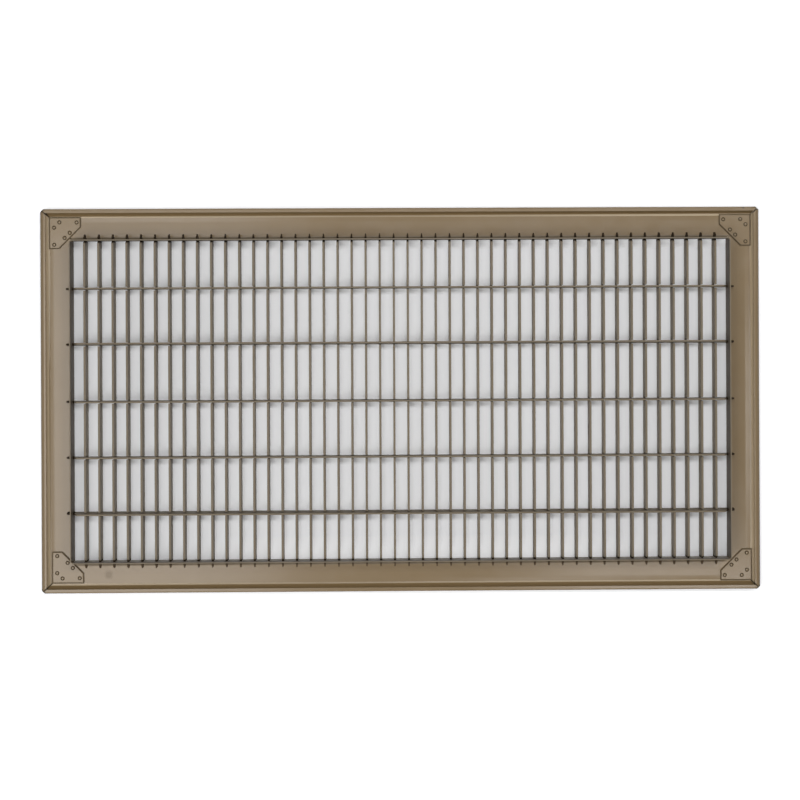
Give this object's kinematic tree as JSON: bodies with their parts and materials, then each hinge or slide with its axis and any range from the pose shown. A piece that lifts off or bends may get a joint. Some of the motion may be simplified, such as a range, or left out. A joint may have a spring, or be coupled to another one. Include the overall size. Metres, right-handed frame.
{
  "type": "return air grille",
  "caption": "Steel return air floor grille: a bevelled flange frame with a drop-in collar, mitred corners with corner plates, and a lattice of straight fins and cross bars.",
  "frame": {"origin": "middle of the face plane, on which the grille lies", "axes": "+Z out of the back, into the duct; +X along the long side; +Y along the short side"},
  "size_m": [0.6536, 0.3488, 0.019],
  "materials": {
    "paint": "semi-gloss baked enamel"
  },
  "bodies": {
    "root": {"frame_rail_front": "paint", "frame_rail_back": "paint", "frame_rail_left": "paint", "frame_rail_right": "paint", "corner_plate_front_left": "paint", "corner_plate_front_right": "paint", "corner_plate_back_right": "paint", "corner_plate_back_left": "paint", "fin_01": "paint", "fin_02": "paint", "fin_03": "paint", "fin_04": "paint", "fin_05": "paint", "fin_06": "paint", "fin_07": "paint", "fin_08": "paint", "fin_09": "paint", "fin_10": "paint", "fin_11": "paint", "fin_12": "paint", "fin_13": "paint", "fin_14": "paint", "fin_15": "paint", "fin_16": "paint", "fin_17": "paint", "fin_18": "paint", "fin_19": "paint", "fin_20": "paint", "fin_21": "paint", "fin_22": "paint", "fin_23": "paint", "fin_24": "paint", "fin_25": "paint", "fin_26": "paint", "fin_27": "paint", "fin_28": "paint", "fin_29": "paint", "fin_30": "paint", "fin_31": "paint", "fin_32": "paint", "fin_33": "paint", "fin_34": "paint", "fin_35": "paint", "fin_36": "paint", "fin_37": "paint", "fin_38": "paint", "fin_39": "paint", "fin_40": "paint", "fin_41": "paint", "fin_42": "paint", "fin_43": "paint", "fin_44": "paint", "fin_45": "paint", "fin_46": "paint", "cross_bar_1": "paint", "cross_bar_2": "paint", "cross_bar_3": "paint", "cross_bar_4": "paint", "cross_bar_5": "paint"}
  },
  "joints": []
}
